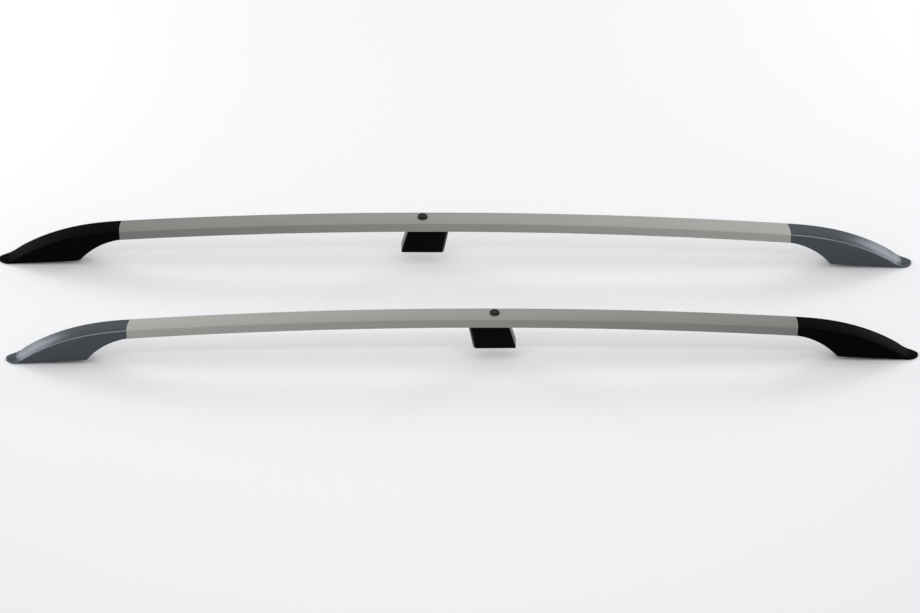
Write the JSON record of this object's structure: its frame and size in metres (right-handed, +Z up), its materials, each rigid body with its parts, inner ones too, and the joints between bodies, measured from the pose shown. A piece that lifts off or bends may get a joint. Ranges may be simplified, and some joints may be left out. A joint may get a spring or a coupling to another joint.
{
  "type": "roof side rail pair",
  "caption": "Matched pair of raised roof side rails: arched metal bars that taper into moulded end feet, each with a raked middle foot and a round bolt head above it.",
  "frame": {"origin": "on the ground, under the middle of the pair", "axes": "+X along the rails, towards the front end of the right rail; +Y across the car, towards the right rail as stored; +Z up"},
  "size_m": [1.914, 0.3918, 0.116],
  "materials": {
    "bar_aluminium": "satin silver anodised",
    "graphite_plastic": "satin, moulded in graphite",
    "black_plastic": "satin, moulded in black",
    "black_gloss": "half gloss, moulded in black",
    "black_steel": "black coated steel",
    "zinc_steel": "zinc plated steel",
    "black_rubber": "matt"
  },
  "bodies": {
    "root": {"right_bar": "bar_aluminium", "right_front_foot": "graphite_plastic", "right_front_bracket": "zinc_steel", "right_front_gasket": "black_rubber", "right_front_weld_nuts": "zinc_steel", "right_front_foot_screws": "zinc_steel", "right_front_bar_screws": "zinc_steel", "right_rear_foot": "black_plastic", "right_rear_bracket": "zinc_steel", "right_rear_gasket": "black_rubber", "right_rear_weld_nuts": "zinc_steel", "right_rear_foot_screws": "zinc_steel", "right_rear_bar_screws": "zinc_steel", "right_mid_foot": "black_gloss", "right_mid_gasket": "black_rubber", "right_mid_bolt": "black_steel", "right_mid_seal": "black_rubber", "right_mid_spacer": "zinc_steel", "right_mid_sleeve_nut": "zinc_steel", "left_bar": "bar_aluminium", "left_front_foot": "graphite_plastic", "left_front_bracket": "zinc_steel", "left_front_gasket": "black_rubber", "left_front_weld_nuts": "zinc_steel", "left_front_foot_screws": "zinc_steel", "left_front_bar_screws": "zinc_steel", "left_rear_foot": "black_plastic", "left_rear_bracket": "zinc_steel", "left_rear_gasket": "black_rubber", "left_rear_weld_nuts": "zinc_steel", "left_rear_foot_screws": "zinc_steel", "left_rear_bar_screws": "zinc_steel", "left_mid_foot": "black_gloss", "left_mid_gasket": "black_rubber", "left_mid_bolt": "black_steel", "left_mid_seal": "black_rubber", "left_mid_spacer": "zinc_steel", "left_mid_sleeve_nut": "zinc_steel"}
  },
  "joints": []
}
